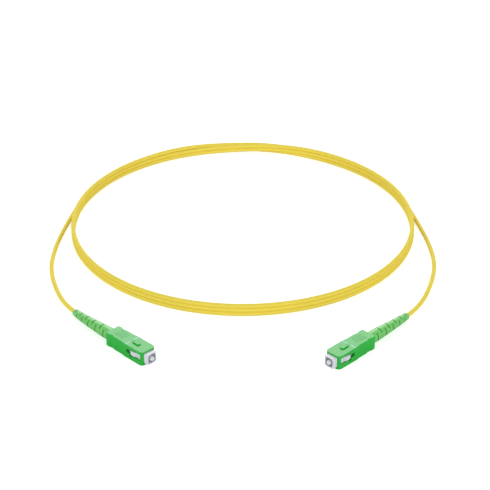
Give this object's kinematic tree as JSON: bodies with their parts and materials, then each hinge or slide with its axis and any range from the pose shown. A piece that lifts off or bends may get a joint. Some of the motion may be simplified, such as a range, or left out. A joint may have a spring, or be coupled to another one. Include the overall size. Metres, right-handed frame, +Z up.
{
  "type": "fiber optic patch cord",
  "caption": "Simplex fiber optic patch cord laid in a coil, with a square push-pull connector, angled ferrule and slotted boot at each end.",
  "frame": {"origin": "on the surface that the cord lies on, at the middle of the two connectors' footprint", "axes": "+Z up from that surface; +X from connector a towards connector b; +Y from the connectors towards the coil"},
  "size_m": [0.2039, 0.2386, 0.008],
  "materials": {
    "green_grip": "moulded, satin",
    "white_inlay": "satin",
    "white_frame": "moulded, satin",
    "zirconia": "ground and polished ceramic",
    "glass_fibre": "polished with the ferrule",
    "plated_brass": "nickel plated",
    "spring_steel": "drawn wire",
    "grey_body": "moulded",
    "clear_guide": "translucent",
    "yarn": "aramid yarn",
    "crimp_metal": "crimped",
    "green_boot": "moulded elastomer",
    "yellow_jacket": "extruded, satin",
    "buffer": "extruded"
  },
  "bodies": {
    "cord_and_plugs": {"plug_frame_a": "white_frame", "ferrule_spring_a": "spring_steel", "rear_body_a": "grey_body", "guide_tube_a": "clear_guide", "strength_yarn_a": "yarn", "crimp_ring_a": "crimp_metal", "boot_a": "green_boot", "plug_frame_b": "white_frame", "ferrule_spring_b": "spring_steel", "rear_body_b": "grey_body", "guide_tube_b": "clear_guide", "strength_yarn_b": "yarn", "crimp_ring_b": "crimp_metal", "boot_b": "green_boot", "cord_run_a": "yellow_jacket", "cord_coil": "yellow_jacket", "cord_run_b": "yellow_jacket", "fibre_buffer": "buffer"},
    "grip_unit_a": {"grip_a": "green_grip", "index_marks_a": "white_inlay"},
    "ferrule_unit_a": {"ferrule_a": "zirconia", "ferrule_flange_a": "plated_brass", "fibre_tip_a": "glass_fibre"},
    "grip_unit_b": {"grip_b": "green_grip", "index_marks_b": "white_inlay"},
    "ferrule_unit_b": {"ferrule_b": "zirconia", "ferrule_flange_b": "plated_brass", "fibre_tip_b": "glass_fibre"}
  },
  "joints": [
    {"name": "grip_pull_a", "type": "slide", "parent": "cord_and_plugs", "child": "grip_unit_a", "axis": [0.7046, -0.7096, 0], "range_m": [-0.0017, 0]},
    {"name": "ferrule_float_a", "type": "slide", "parent": "cord_and_plugs", "child": "ferrule_unit_a", "axis": [0.7046, -0.7096, 0], "range_m": [-0.001, 0], "stiffness_N_per_m": 1800, "springref_m": 0.0035, "deforming": ["ferrule_spring_a"]},
    {"name": "grip_pull_b", "type": "slide", "parent": "cord_and_plugs", "child": "grip_unit_b", "axis": [-0.7022, -0.712, 0], "range_m": [-0.0017, 0]},
    {"name": "ferrule_float_b", "type": "slide", "parent": "cord_and_plugs", "child": "ferrule_unit_b", "axis": [-0.7022, -0.712, 0], "range_m": [-0.001, 0], "stiffness_N_per_m": 1800, "springref_m": 0.0035, "deforming": ["ferrule_spring_b"]}
  ]
}
